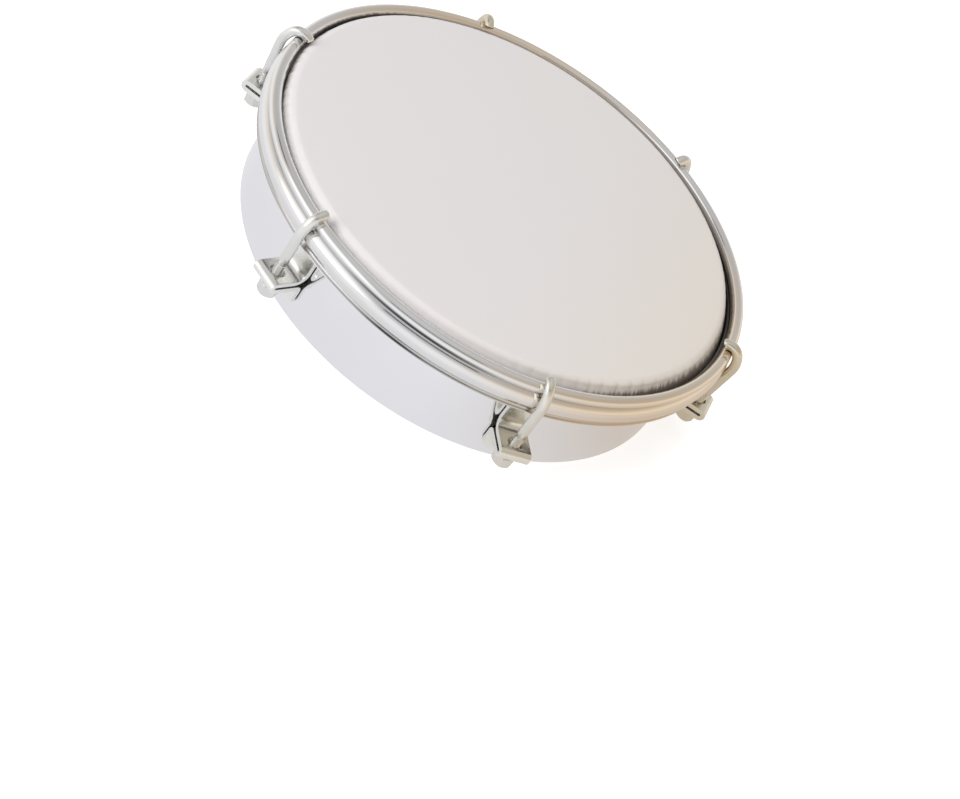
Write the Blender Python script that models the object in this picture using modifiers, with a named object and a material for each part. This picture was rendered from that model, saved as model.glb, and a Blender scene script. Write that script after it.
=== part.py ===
"""A tamborim: a small frame drum, played with a stick, with one head and six tension hooks.

Metres, +Z up along the drum's axis. The origin is the middle of the lower rim, which is also
the plane that the drum stands on. Station 1 is on +X and the others follow every 60 degrees.

Each station holds a folded strip lug on the shell, a hook over the counterhoop, and a nut under
the lug. Turning the nuts draws the counterhoop down over the flesh hoop and tightens the head.
"""
import math

import bmesh
import bpy
from mathutils import Matrix

MM = 0.001

# Driving dimensions
STATIONS = 6                     # tension points round the drum
SHELL_RADIUS = 76.0 * MM         # outside of the shell, a six inch drum
SHELL_CREST = 38.8 * MM          # highest line of the shell, where the head bears
SHELL_WALL = 1.5 * MM            # sheet that the shell is rolled from
HOOP_TOP = 38.9 * MM             # highest line of the counterhoop
HOOP_SHEET = 1.2 * MM            # sheet that the counterhoop is rolled from
LUG_WIDTH = 9.9 * MM             # strip that the lugs are folded from
LUG_SHEET = 1.5 * MM
LUG_SLIT = 0.9 * MM              # air left between the two layers of the fold
LUG_REACH = 88.9 * MM            # how far the fold stands from the drum's axis
ROD_DIAMETER = 3.2 * MM          # hook, one eighth of an inch
HOOK_LEAN = math.radians(5.0)    # the shank runs in towards the shell as it goes down
FOLD_TILT = math.radians(2.5)    # the lug rises as it goes out from the shell
SHANK_RADIUS = 84.3 * MM         # where the shank's axis meets the top of the lug
LUG_TOP = 16.5 * MM              # height of the lug's top at that place
NUT_ACROSS_FLATS = 6.0 * MM
NUT_HEIGHT = 4.0 * MM
NUT_TOP = 4.7 * MM               # how far the nut starts below the top of the lug
GAP = 0.3 * MM                   # kept between pieces that touch

# Secondary dimensions
CREST_BEND = 2.0 * MM            # outer radius of the shell's turned-in top edge
FOOT_BEND = 2.5 * MM             # outer radius of its turned-in lower edge
RIM_INNER = 70.0 * MM            # inner edge of the flat lower rim
FILM = 0.4 * MM
FILM_EDGE = 33.0 * MM            # where the film ends, in the flesh hoop's slot
LUG_BEND = 4.0 * MM              # outer radius where the upper foot meets the fold
LUG_LOWER_BEND = 2.2 * MM        # the same for the lower foot
LUG_HOLE = 5.0 * MM              # hole for the hook through both layers
UPPER_FOOT_TOP = 28.9 * MM
LOWER_FOOT_END = 6.0 * MM
FOOT_CORNER = 2.0 * MM           # rounding of the feet's corners
UPPER_RIVET = 25.6 * MM          # heights of the two rivets
LOWER_RIVET = 8.9 * MM
RIVET_SHANK = 2.8 * MM
RIVET_HEAD = 4.2 * MM
RIVET_DOME = 0.6 * MM            # how far the low head stands up from its seat
HOOK_CORNER = 4.0 * MM           # bend radius of the rod's middle line
HOOK_REACH = 80.4 * MM           # where the rod, going in over the bead, starts to turn down
HOOK_END = 9.2 * MM              # the shank's length below the top of the lug
NUT_CHAMFER = 0.5 * MM

RING_STEPS = 48                  # facets round the drum
SMALL_STEPS = 12                 # facets round a rivet
HOLE_STEPS = 16                  # facets round a drilled hole
MERGE = 0.00005                  # welding distance for turned shapes


def start_scene():
    """Empty the scene and return the collections for the parts and for the cutters."""
    for obj in list(bpy.data.objects):
        bpy.data.objects.remove(obj, do_unlink=True)
    parts = bpy.data.collections.new("tamborim")
    cutters = bpy.data.collections.new("cutters")
    for collection in (parts, cutters):
        bpy.context.scene.collection.children.link(collection)
    return parts, cutters


def material(name, colour, roughness, metallic):
    """A Principled material of one colour."""
    made = bpy.data.materials.new(name)
    made.use_nodes = True
    shader = made.node_tree.nodes["Principled BSDF"]
    shader.inputs["Base Color"].default_value = (*colour, 1.0)
    shader.inputs["Roughness"].default_value = roughness
    shader.inputs["Metallic"].default_value = metallic
    return made


def arc(x, z, radius, start, end, steps):
    """Points on an arc in the plane of a section, angles in degrees from +X towards +Z."""
    angles = [math.radians(start + (end - start) * i / steps) for i in range(steps + 1)]
    return [(x + radius * math.cos(a), z + radius * math.sin(a)) for a in angles]


def section_mesh(name, points, closed):
    """A mesh of edges through points given as (distance from the axis, height)."""
    mesh = bpy.data.meshes.new(name)
    edges = [(i, i + 1) for i in range(len(points) - 1)]
    if closed:
        edges.append((len(points) - 1, 0))
    mesh.from_pydata([(x, 0.0, z) for x, z in points], edges, [])
    return mesh


def turned(name, points, closed, steps, collection):
    """A shape turned about Z from a section that runs down its outer side."""
    obj = bpy.data.objects.new(name, section_mesh(name, points, closed))
    collection.objects.link(obj)
    screw = obj.modifiers.new("turn", "SCREW")
    screw.axis = "Z"
    screw.angle = math.tau
    screw.steps = steps
    screw.render_steps = steps
    screw.use_merge_vertices = True
    screw.merge_threshold = MERGE
    screw.use_smooth_shade = True
    return obj


def sheet_wall(obj, thickness):
    """Give an open surface a wall, half of it to each side."""
    wall = obj.modifiers.new("wall", "SOLIDIFY")
    wall.thickness = thickness
    wall.offset = 0.0
    wall.use_even_offset = True
    return wall


def cylinder(name, radius, length, place, collection, sides=HOLE_STEPS):
    """A cylinder about the Z axis of place, centred on it, kept as a cutter."""
    mesh = bpy.data.meshes.new(name)
    shape = bmesh.new()
    bmesh.ops.create_cone(shape, cap_ends=True, segments=sides,
                          radius1=radius, radius2=radius, depth=length, matrix=place)
    shape.to_mesh(mesh)
    shape.free()
    obj = bpy.data.objects.new(name, mesh)
    collection.objects.link(obj)
    obj.hide_render = True
    obj.display_type = "WIRE"
    return obj


def cut(obj, cutter, operation="DIFFERENCE"):
    """A Boolean modifier on obj."""
    boolean = obj.modifiers.new(cutter.name, "BOOLEAN")
    boolean.operation = operation
    boolean.object = cutter
    return boolean


def settled_mesh(obj, name):
    """The evaluated mesh of obj with its loose caps welded; obj is then removed."""
    bpy.context.view_layer.update()
    graph = bpy.context.evaluated_depsgraph_get()
    mesh = bpy.data.meshes.new_from_object(obj.evaluated_get(graph))
    mesh.name = name
    shape = bmesh.new()
    shape.from_mesh(mesh)
    bmesh.ops.remove_doubles(shape, verts=shape.verts, dist=MERGE / 10)
    shape.to_mesh(mesh)
    shape.free()
    bpy.data.objects.remove(obj, do_unlink=True)
    return mesh


def smooth(mesh, sharp_degrees=35.0):
    """Round shading, with creases kept sharp."""
    mesh.shade_smooth()
    mesh.set_sharp_from_angle(angle=math.radians(sharp_degrees))


def shank_frame():
    """Frame of a station's shank: origin on the lug's top, +Z up along the shank."""
    return (Matrix.Translation((SHANK_RADIUS, 0.0, LUG_TOP))
            @ Matrix.Rotation(HOOK_LEAN, 4, "Y"))


def radial_hole(height):
    """Frame of a rivet in a station: origin on the shell's outside, +Z outwards."""
    return Matrix.Translation((SHELL_RADIUS, 0.0, height)) @ Matrix.Rotation(math.pi / 2, 4, "Y")


def make_shell(parts, cutters):
    """The shell: sheet rolled to a ring, its edges turned in, drilled for the rivets."""
    inner = SHELL_RADIUS - SHELL_WALL
    crest_x = SHELL_RADIUS - CREST_BEND
    crest_z = SHELL_CREST - CREST_BEND
    foot_x = SHELL_RADIUS - FOOT_BEND
    lip_angle = 140.0
    outside = (arc(crest_x, crest_z, CREST_BEND, lip_angle, 0.0, 8)
               + arc(foot_x, FOOT_BEND, FOOT_BEND, 0.0, -90.0, 5)
               + [(RIM_INNER, 0.0)])
    inside = ([(RIM_INNER, SHELL_WALL)]
              + arc(foot_x, FOOT_BEND, FOOT_BEND - SHELL_WALL, -90.0, 0.0, 3)
              + [(inner, SHELL_CREST / 2)]
              + arc(crest_x, crest_z, CREST_BEND - SHELL_WALL, 0.0, lip_angle, 3))
    shell = turned("shell", outside + inside, True, RING_STEPS, parts)

    holes = bmesh.new()
    radius = RIVET_SHANK / 2 + GAP
    for station in range(STATIONS):
        turn = Matrix.Rotation(math.tau * station / STATIONS, 4, "Z")
        for height in (UPPER_RIVET, LOWER_RIVET):
            bmesh.ops.create_cone(holes, cap_ends=True, segments=HOLE_STEPS, radius1=radius,
                                  radius2=radius, depth=8 * SHELL_WALL,
                                  matrix=turn @ radial_hole(height))
    mesh = bpy.data.meshes.new("rivet_holes")
    holes.to_mesh(mesh)
    holes.free()
    cutter = bpy.data.objects.new("rivet_holes", mesh)
    cutters.objects.link(cutter)
    cutter.hide_render = True
    cutter.display_type = "WIRE"
    cut(shell, cutter)
    shell.data.materials.append(material("bright_shell_metal", (0.78, 0.78, 0.79), 0.22, 1.0))
    return shell


def make_drumhead(parts):
    """The film: flat, bent over the crest, and down into the flesh hoop's slot."""
    bend = CREST_BEND + GAP + FILM / 2
    crest_x = SHELL_RADIUS - CREST_BEND
    crest_z = SHELL_CREST - CREST_BEND
    slot_x = SHELL_RADIUS + 2.0 * MM
    slot_top = 34.9 * MM
    collar = arc(crest_x, crest_z, bend, 90.0, 28.0, 6)
    section = ([(0.0, crest_z + bend), (crest_x / 2, crest_z + bend)] + collar
               + [(slot_x, slot_top), (slot_x, FILM_EDGE)])
    head = turned("drumhead", section, False, RING_STEPS, parts)
    sheet_wall(head, FILM)
    head.data.materials.append(material("milky_film", (0.76, 0.74, 0.71), 0.45, 0.0))
    return head


def make_flesh_hoop(parts):
    """The ring that holds the film's edge in a slot round its top."""
    outer = SHELL_RADIUS + 4.9 * MM
    inner = SHELL_RADIUS + 1.0 * MM
    slot_inner = SHELL_RADIUS + 1.5 * MM
    slot_outer = SHELL_RADIUS + 2.5 * MM
    top = 35.4 * MM
    lip = 34.0 * MM
    slot_floor = FILM_EDGE - GAP
    bottom = 30.4 * MM
    edge = 0.4 * MM
    section = [(outer - edge, top), (outer, top - edge), (outer, bottom + edge),
               (outer - edge, bottom), (inner + edge, bottom), (inner, bottom + edge),
               (inner, lip), (slot_inner, lip), (slot_inner, slot_floor),
               (slot_outer, slot_floor), (slot_outer, top)]
    ring = turned("flesh_hoop", section, True, RING_STEPS, parts)
    ring.data.materials.append(material("aluminium_ring", (0.62, 0.62, 0.62), 0.4, 1.0))
    return ring


def make_counterhoop(parts):
    """The counterhoop: sheet rolled to a bead, a groove, a convex band and a lip.

    The section starts at the lip and runs up the outside, over the bead, and down its
    inner wall, whose edge presses on the flesh hoop.
    """
    half = HOOP_SHEET / 2
    bead_radius = 1.65 * MM
    bead_x = 81.15 * MM
    bead_z = HOOP_TOP - bead_radius
    middle = bead_radius - half
    lip = [(82.65 * MM, 29.4 * MM), (82.15 * MM, 30.1 * MM)]
    band = arc(79.8 * MM, 32.75 * MM, 3.3 * MM, -34.0, 42.0, 5)
    groove = [(82.0 * MM, 35.5 * MM)]
    bead = arc(bead_x, bead_z, middle, -35.0, 180.0, 9)
    wall_end = [(bead_x - middle, 35.7 * MM)]
    section = lip + band + groove + bead + wall_end
    section.reverse()
    hoop = turned("counterhoop", section, False, RING_STEPS, parts)
    sheet_wall(hoop, HOOP_SHEET)
    hoop.data.materials.append(material("plated_hoop", (0.74, 0.72, 0.69), 0.1, 1.0))
    return hoop


def lug_section():
    """Middle line of a lug's strip, from the top of its upper foot to its lower end.

    Down the shell, round a bend, out along the fold, round its nose, back underneath, and
    round the second bend to the lower foot.
    """
    half = LUG_SHEET / 2
    foot_x = SHELL_RADIUS + GAP + half
    tilt = math.degrees(FOLD_TILT)
    bend = LUG_BEND - half
    nose = half + LUG_SLIT / 2

    def fold_height(x, depth):
        """Height of the layer whose middle lies depth under the lug's top."""
        rise = (x - SHANK_RADIUS) * math.tan(FOLD_TILT)
        return LUG_TOP + rise - depth / math.cos(FOLD_TILT)

    bend_x = foot_x + bend
    upper_z = fold_height(bend_x, half) + bend / math.cos(FOLD_TILT)
    upper = arc(bend_x, upper_z, bend, 180.0, 270.0 + tilt, 6)
    nose_x = LUG_REACH - nose - half
    middle = half + nose
    tip = arc(nose_x, fold_height(nose_x, middle), nose, 90.0 + tilt, -90.0 + tilt, 6)
    lower_bend = LUG_LOWER_BEND - half
    lower_x = foot_x + lower_bend
    lower_z = fold_height(lower_x, middle + nose) - lower_bend / math.cos(FOLD_TILT)
    lower = arc(lower_x, lower_z, lower_bend, 90.0 + tilt, 180.0, 5)
    return [(foot_x, UPPER_FOOT_TOP)] + upper + tip + lower + [(foot_x, LOWER_FOOT_END)]


def make_lug_mesh(cutters):
    """One lug: strip bent to the section, its feet rounded, then drilled."""
    mesh = section_mesh("lug", lug_section(), False)
    strip = bmesh.new()
    strip.from_mesh(mesh)
    bmesh.ops.translate(strip, vec=(0.0, -LUG_WIDTH / 2, 0.0), verts=strip.verts)
    swept = bmesh.ops.extrude_edge_only(strip, edges=strip.edges[:])
    moved = [v for v in swept["geom"] if isinstance(v, bmesh.types.BMVert)]
    bmesh.ops.translate(strip, vec=(0.0, LUG_WIDTH, 0.0), verts=moved)
    bmesh.ops.recalc_face_normals(strip, faces=strip.faces)
    corners = [v.index for v in strip.verts if len(v.link_edges) == 2]
    strip.to_mesh(mesh)
    strip.free()

    lug = bpy.data.objects.new("lug_blank", mesh)
    bpy.context.scene.collection.objects.link(lug)
    group = lug.vertex_groups.new(name="corners")
    group.add(corners, 1.0, "REPLACE")
    rounding = lug.modifiers.new("rounding", "BEVEL")
    rounding.affect = "VERTICES"
    rounding.limit_method = "VGROUP"
    rounding.vertex_group = "corners"
    rounding.width = FOOT_CORNER
    rounding.segments = 3
    sheet_wall(lug, LUG_SHEET)
    hook_hole = cylinder("hook_hole", LUG_HOLE / 2, 16 * MM, shank_frame(), cutters)
    upper_hole = cylinder("upper_foot_hole", RIVET_SHANK / 2 + GAP, 8 * MM,
                          radial_hole(UPPER_RIVET), cutters)
    lower_hole = cylinder("lower_foot_hole", RIVET_SHANK / 2 + GAP, 8 * MM,
                          radial_hole(LOWER_RIVET), cutters)
    for hole in (hook_hole, upper_hole, lower_hole):
        cut(lug, hole)
    settled = settled_mesh(lug, "lug")
    for hole in (hook_hole, upper_hole, lower_hole):
        bpy.data.objects.remove(hole, do_unlink=True)
    smooth(settled)
    return settled


def make_rivet_mesh():
    """One rivet along +Z: tail inside the shell, shank, and domed head on the foot."""
    head_seat = GAP + LUG_SHEET + GAP
    tail_seat = -SHELL_WALL - GAP
    shank = RIVET_SHANK / 2
    head = RIVET_HEAD / 2
    tail = head * 0.8
    section = [(0.0, head_seat + RIVET_DOME), (head * 0.6, head_seat + RIVET_DOME * 0.8),
               (head, head_seat + RIVET_DOME * 0.2), (head, head_seat), (shank, head_seat),
               (shank, tail_seat), (tail, tail_seat), (tail, tail_seat - 0.8 * MM),
               (0.0, tail_seat - 1.1 * MM)]
    rivet = turned("rivet_blank", section, False, SMALL_STEPS, bpy.context.scene.collection)
    mesh = settled_mesh(rivet, "rivet")
    smooth(mesh)
    return mesh


def make_hook_mesh():
    """One hook in its shank's frame: a short tip, over the bead, and down the shank."""
    in_frame = shank_frame().inverted()
    rod = ROD_DIAMETER / 2
    apex = HOOP_TOP + GAP + rod
    corner_z = apex - HOOK_CORNER
    outer_x = SHANK_RADIUS + (corner_z - LUG_TOP) * math.tan(HOOK_LEAN)
    lean = math.degrees(HOOK_LEAN)
    outer_centre = outer_x - HOOK_CORNER / math.cos(HOOK_LEAN)
    tip_angle = 108.0
    path = (arc(HOOK_REACH, corner_z, HOOK_CORNER, tip_angle, 90.0, 2)
            + arc(outer_centre, corner_z, HOOK_CORNER, 90.0, -lean, 7))
    points = [in_frame @ Matrix.Translation((x, 0.0, z)).translation for x, z in path]
    shank_ends = [(0.0, 0.0, z) for z in (4 * MM, -HOOK_END)]
    coordinates = [tuple(p) for p in points] + shank_ends

    curve = bpy.data.curves.new("hook", "CURVE")
    curve.dimensions = "3D"
    curve.bevel_depth = rod
    curve.bevel_resolution = 3
    curve.use_fill_caps = True
    spline = curve.splines.new("POLY")
    spline.points.add(len(coordinates) - 1)
    for point, place in zip(spline.points, coordinates):
        point.co = (*place, 1.0)
    blank = bpy.data.objects.new("hook_blank", curve)
    bpy.context.scene.collection.objects.link(blank)
    mesh = settled_mesh(blank, "hook")
    smooth(mesh, 50.0)
    return mesh


def make_nut_mesh(cutters):
    """One hexagon nut in the shank's frame, chamfered at both ends, with a plain bore."""
    top = -NUT_TOP
    middle = Matrix.Translation((0.0, 0.0, top - NUT_HEIGHT / 2))
    corner = NUT_ACROSS_FLATS / math.sqrt(3.0)
    nut = cylinder("nut_blank", corner, NUT_HEIGHT, middle, cutters, sides=6)
    flat = NUT_ACROSS_FLATS / 2
    high = top + MM
    low = top - NUT_HEIGHT - MM
    reach = flat + NUT_CHAMFER
    section = [(0.0, high), (flat, high), (flat, top), (reach, top - NUT_CHAMFER),
               (reach, top - NUT_HEIGHT + NUT_CHAMFER), (flat, top - NUT_HEIGHT),
               (flat, low), (0.0, low)]
    rounding = turned("nut_rounding", section, False, 24, cutters)
    bore = cylinder("nut_bore", ROD_DIAMETER / 2 + GAP, 2 * NUT_HEIGHT, middle, cutters)
    cut(nut, rounding, "INTERSECT")
    cut(nut, bore)
    mesh = settled_mesh(nut, "tuning_nut")
    for helper in (rounding, bore):
        bpy.data.objects.remove(helper, do_unlink=True)
    smooth(mesh)
    return mesh


def place(name, mesh, finish, parent, parts, frame=None):
    """A named object that shows a shared mesh, in its parent's frame."""
    if not mesh.materials:
        mesh.materials.append(finish)
    obj = bpy.data.objects.new(name, mesh)
    parts.objects.link(obj)
    obj.parent = parent
    if frame is not None:
        obj.matrix_local = frame
    return obj


def make_stations(parts, cutters):
    """Lug, rivets, hook and nut at each of the six stations."""
    bright = material("bright_strip", (0.80, 0.80, 0.79), 0.15, 1.0)
    zinc = material("zinc_rod", (0.66, 0.65, 0.63), 0.35, 1.0)
    nut_finish = material("zinc_nut", (0.62, 0.62, 0.61), 0.35, 1.0)
    rivet_finish = material("bright_rivet", (0.75, 0.75, 0.74), 0.25, 1.0)
    lug = make_lug_mesh(cutters)
    rivet = make_rivet_mesh()
    hook = make_hook_mesh()
    nut = make_nut_mesh(cutters)
    for station in range(STATIONS):
        number = station + 1
        centre = bpy.data.objects.new(f"station_{number}", None)
        parts.objects.link(centre)
        centre.rotation_euler = (0.0, 0.0, math.tau * station / STATIONS)
        axis = bpy.data.objects.new(f"shank_axis_{number}", None)
        parts.objects.link(axis)
        axis.parent = centre
        axis.matrix_local = shank_frame()
        place(f"lug_{number}", lug, bright, centre, parts)
        place(f"rivet_upper_{number}", rivet, rivet_finish, centre, parts,
              radial_hole(UPPER_RIVET))
        place(f"rivet_lower_{number}", rivet, rivet_finish, centre, parts,
              radial_hole(LOWER_RIVET))
        place(f"hook_{number}", hook, zinc, axis, parts)
        place(f"tuning_nut_{number}", nut, nut_finish, axis, parts)


parts_collection, cutter_collection = start_scene()
make_shell(parts_collection, cutter_collection)
make_drumhead(parts_collection)
make_flesh_hoop(parts_collection)
make_counterhoop(parts_collection)
make_stations(parts_collection, cutter_collection)
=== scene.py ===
import math

import bpy
import numpy as np
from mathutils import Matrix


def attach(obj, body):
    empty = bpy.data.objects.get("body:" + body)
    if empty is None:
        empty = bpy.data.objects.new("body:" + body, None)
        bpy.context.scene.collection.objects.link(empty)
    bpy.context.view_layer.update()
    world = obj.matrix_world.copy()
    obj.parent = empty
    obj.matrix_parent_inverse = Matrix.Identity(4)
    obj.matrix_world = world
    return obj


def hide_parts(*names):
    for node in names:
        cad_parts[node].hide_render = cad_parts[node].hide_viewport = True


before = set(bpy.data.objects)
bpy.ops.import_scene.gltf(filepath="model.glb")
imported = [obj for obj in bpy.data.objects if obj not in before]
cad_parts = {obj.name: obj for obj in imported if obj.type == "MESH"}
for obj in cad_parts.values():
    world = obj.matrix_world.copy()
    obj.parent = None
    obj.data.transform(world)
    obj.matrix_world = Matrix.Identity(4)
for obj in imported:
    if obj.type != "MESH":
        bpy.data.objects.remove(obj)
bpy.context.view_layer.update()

# Camera, light and floor.
# An 85 mm lens 0.7 m away, turned about its own axis so that the drum stands tilted to the
# right in the picture, over a pale floor under two large soft lamps and a warm weaker one.
MM = 0.001
CAMERA_PLACE = (0.00160, -0.58356, 0.42117)
CAMERA_TURN = (45.3913, -28.7719, 22.6182)

camera_data = bpy.data.cameras.new("camera")
camera_data.lens = 85.0
camera_data.sensor_width = 36.0
camera = bpy.data.objects.new("camera", camera_data)
camera.location = CAMERA_PLACE
camera.rotation_euler = [math.radians(turn) for turn in CAMERA_TURN]
bpy.context.scene.collection.objects.link(camera)
bpy.context.scene.camera = camera
bpy.context.scene.view_settings.view_transform = "Standard"


def linear(code):
    """Turn an sRGB hex colour to linear red, green, blue and full alpha."""
    shown = np.array([int(code[i:i + 2], 16) for i in (1, 3, 5)]) / 255.0
    light = np.where(shown <= 0.04045, shown / 12.92, ((shown + 0.055) / 1.055) ** 2.4)
    return (*light.tolist(), 1.0)


def fill(tree, node, inputs):
    """Give a node's inputs, by name, their values or the sockets that they are linked to."""
    for name, value in inputs.items():
        if isinstance(value, bpy.types.NodeSocket):
            tree.links.new(value, node.inputs[name])
        else:
            node.inputs[name].default_value = value


def add(tree, kind, settings=None, inputs=None):
    """Add a node: its settings by name, and its inputs by name as values or linked sockets."""
    made = tree.nodes.new(kind)
    for name, value in (settings or {}).items():
        setattr(made, name, value)
    fill(tree, made, inputs or {})
    return made


def new_material(name):
    """A new material, its node tree, and its shader."""
    made = bpy.data.materials.new(name)
    made.use_nodes = True
    return made, made.node_tree, made.node_tree.nodes["Principled BSDF"]


def softbox(name, colour, watts, size, place):
    """A square area lamp at place, aimed at the middle of the drum, that no mirror shows."""
    lamp = bpy.data.lights.new(name, "AREA")
    lamp.color = linear(colour)[:3]
    lamp.energy = watts
    lamp.size = size
    made = bpy.data.objects.new(name, lamp)
    bpy.context.scene.collection.objects.link(made)
    made.location = place
    aim = made.location.normalized().to_track_quat("Z", "Y")
    made.rotation_euler = aim.to_euler()
    made.visible_camera = False
    made.visible_glossy = False
    return made


softbox("key_softbox", "#FBFCFF", 10.0, 0.8, (-0.90, -0.80, 0.62))
softbox("top_softbox", "#FFFFFF", 6.0, 1.2, (-0.30, -0.10, 1.30))
softbox("warm_fill", "#FFE6CC", 1.5, 1.0, (1.05, -0.35, 0.50))

# The room: white to the camera, and dimmer as light. The metal sees it brightest at the height
# of the drum, greyer higher up, tan on the right and at the back left, and with a soft window at
# the front left.
WALL_GREYS = ((0.0, "#FFFFFF"), (0.17, "#F8F8F8"), (0.41, "#D2D2D3"), (0.70, "#C6C6C8"),
              (1.0, "#D8D8D9"))
TAN_SIDES = (((0.97, 0.0, 0.25), 0.2, 1.0),                 # towards, where it fades, and
             ((-0.90, 0.42, 0.10), 0.33, 0.45))             # how much of the tan it gets
WINDOW_SIDE = (-0.76, -0.58, 0.29)
WINDOW_EDGES = (0.80, 0.97)        # towards it, where the window starts and is full
WINDOW_GLARE = 1.9
ROOM_LIGHT = 0.45                  # how bright the room is as light, to 1 as the camera sees it
world = bpy.data.worlds.new("white_room")
world.use_nodes = True
bpy.context.scene.world = world
room = world.node_tree
rays = add(room, "ShaderNodeLightPath").outputs
seen = add(room, "ShaderNodeMath", {"operation": "MAXIMUM"},
           {0: rays["Is Camera Ray"], 1: rays["Is Glossy Ray"]}).outputs[0]
seen = add(room, "ShaderNodeMath", {"operation": "MAXIMUM"},
           {0: seen, 1: rays["Is Transmission Ray"]}).outputs[0]
level = add(room, "ShaderNodeMapRange", {}, {"Value": seen, "To Min": ROOM_LIGHT, "To Max": 1.0})
towards = add(room, "ShaderNodeTexCoord").outputs["Generated"]
height = add(room, "ShaderNodeSeparateXYZ", {}, {"Vector": towards}).outputs["Z"]
walls = add(room, "ShaderNodeValToRGB", {}, {"Fac": height})
for number, (spot, shade) in enumerate(WALL_GREYS):
    stop = walls.color_ramp.elements[number] if number < 2 else walls.color_ramp.elements.new(spot)
    stop.position = spot
    stop.color = linear(shade)
shares = []
for side, fade, most in TAN_SIDES:
    facing = add(room, "ShaderNodeVectorMath", {"operation": "DOT_PRODUCT"}, {0: towards, 1: side})
    shares.append(add(room, "ShaderNodeMapRange", {}, {"Value": facing.outputs["Value"],
                                                       "From Min": fade,
                                                       "To Max": most}).outputs["Result"])
share = add(room, "ShaderNodeMath", {"operation": "MAXIMUM"}, {0: shares[0], 1: shares[1]})
hue = add(room, "ShaderNodeMix", {"data_type": "RGBA"},
          {"Factor": share.outputs["Value"], "A": linear("#FDFEFF"), "B": linear("#F9EAD4")})
facing = add(room, "ShaderNodeVectorMath", {"operation": "DOT_PRODUCT"},
             {0: towards, 1: WINDOW_SIDE})
glare = add(room, "ShaderNodeMapRange", {"interpolation_type": "SMOOTHSTEP"},
            {"Value": facing.outputs["Value"], "From Min": WINDOW_EDGES[0],
             "From Max": WINDOW_EDGES[1], "To Min": 1.0, "To Max": WINDOW_GLARE})
toned = add(room, "ShaderNodeMix", {"data_type": "RGBA", "blend_type": "MULTIPLY"},
            {"Factor": 1.0, "A": walls.outputs["Color"], "B": hue.outputs["Result"]})
toned = add(room, "ShaderNodeVectorMath", {"operation": "SCALE"},
            {0: toned.outputs["Result"], "Scale": glare.outputs["Result"]})
shown = add(room, "ShaderNodeMix", {"data_type": "RGBA"},
            {"Factor": rays["Is Glossy Ray"], "A": linear("#FFFFFF"),
             "B": toned.outputs["Vector"]})
fill(room, room.nodes["Background"], {"Color": shown.outputs["Result"],
                                      "Strength": level.outputs["Result"]})


def stage_sheet(name, corners, material):
    """One flat four-cornered face of the stage, in the given material."""
    mesh = bpy.data.meshes.new(name)
    mesh.from_pydata(corners, [], [(0, 1, 2, 3)])
    mesh.materials.append(material)
    made = bpy.data.objects.new(name, mesh)
    bpy.context.scene.collection.objects.link(made)
    return made


def level_square(reach, height):
    """Corners of a level square about the drum's axis, that reaches so far to each side."""
    return [(x * reach, y * reach, height) for x, y in ((-1, -1), (1, -1), (1, 1), (-1, 1))]


# Matt white paper: even and pale, with a little light of its own so that it stays white.
paper, tree, shader = new_material("matt_white_paper")
fill(tree, shader, {"Base Color": linear("#F4F4F4"), "Roughness": 0.9, "Specular IOR Level": 0.1,
                    "Emission Color": linear("#FFFFFF"), "Emission Strength": 0.56})
FLOOR_REACH = 4.0
FLOOR_DROP = -0.0002
stage_sheet("floor", level_square(FLOOR_REACH, FLOOR_DROP), paper)

# Cards that only the metal sees: the floor as it looks in the metal, shaded towards the drum and
# tan on the right, and two grey ones, which draw dark lines along the bead and the band.
CARD_REACH = 1.5
CARD_DROP = -0.0001
SHADE_EDGES = (0.075, 0.20)        # distances from the drum's middle that the shade fades between
SHADE_LEVELS = (0.84, 1.02)
TAN_FLOOR_SIDE = (0.77, 0.64, 0.0)
GREY_CARDS = (("grey_card_front", 277.0, 0.25),      # bearing in degrees from +X, half width
              ("grey_card_left", 170.0, 0.10))
GREY_AWAY = 0.62
GREY_HEIGHTS = (0.40, 0.54)
floor_view, tree, _ = new_material("floor_in_the_metal")
spot = add(tree, "ShaderNodeTexCoord").outputs["Object"]
away = add(tree, "ShaderNodeVectorMath", {"operation": "LENGTH"}, {0: spot})
near = add(tree, "ShaderNodeMapRange", {"interpolation_type": "SMOOTHSTEP"},
           {"Value": away.outputs["Value"], "From Min": SHADE_EDGES[0],
            "From Max": SHADE_EDGES[1], "To Min": SHADE_LEVELS[0], "To Max": SHADE_LEVELS[1]})
rightward = add(tree, "ShaderNodeVectorMath", {"operation": "DOT_PRODUCT"},
                {0: add(tree, "ShaderNodeVectorMath", {"operation": "NORMALIZE"},
                        {0: spot}).outputs["Vector"], 1: TAN_FLOOR_SIDE})
warm = add(tree, "ShaderNodeMapRange", {}, {"Value": rightward.outputs["Value"],
                                            "From Min": -0.45, "From Max": 0.55})
hue = add(tree, "ShaderNodeMix", {"data_type": "RGBA"},
          {"Factor": warm.outputs["Result"], "A": linear("#FCFCFF"), "B": linear("#E4D9CE")})
glow = add(tree, "ShaderNodeEmission", {}, {"Color": hue.outputs["Result"],
                                            "Strength": near.outputs["Result"]})
fill(tree, tree.nodes["Material Output"], {"Surface": glow.outputs["Emission"]})
grey_card, tree, shader = new_material("mid_grey_card")
fill(tree, shader, {"Base Color": linear("#5E5F62")})


def metal_only(made):
    """Hide a stage piece from the camera and from the light, so that only mirrors show it."""
    made.visible_camera = False
    made.visible_diffuse = False
    made.visible_shadow = False


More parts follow.
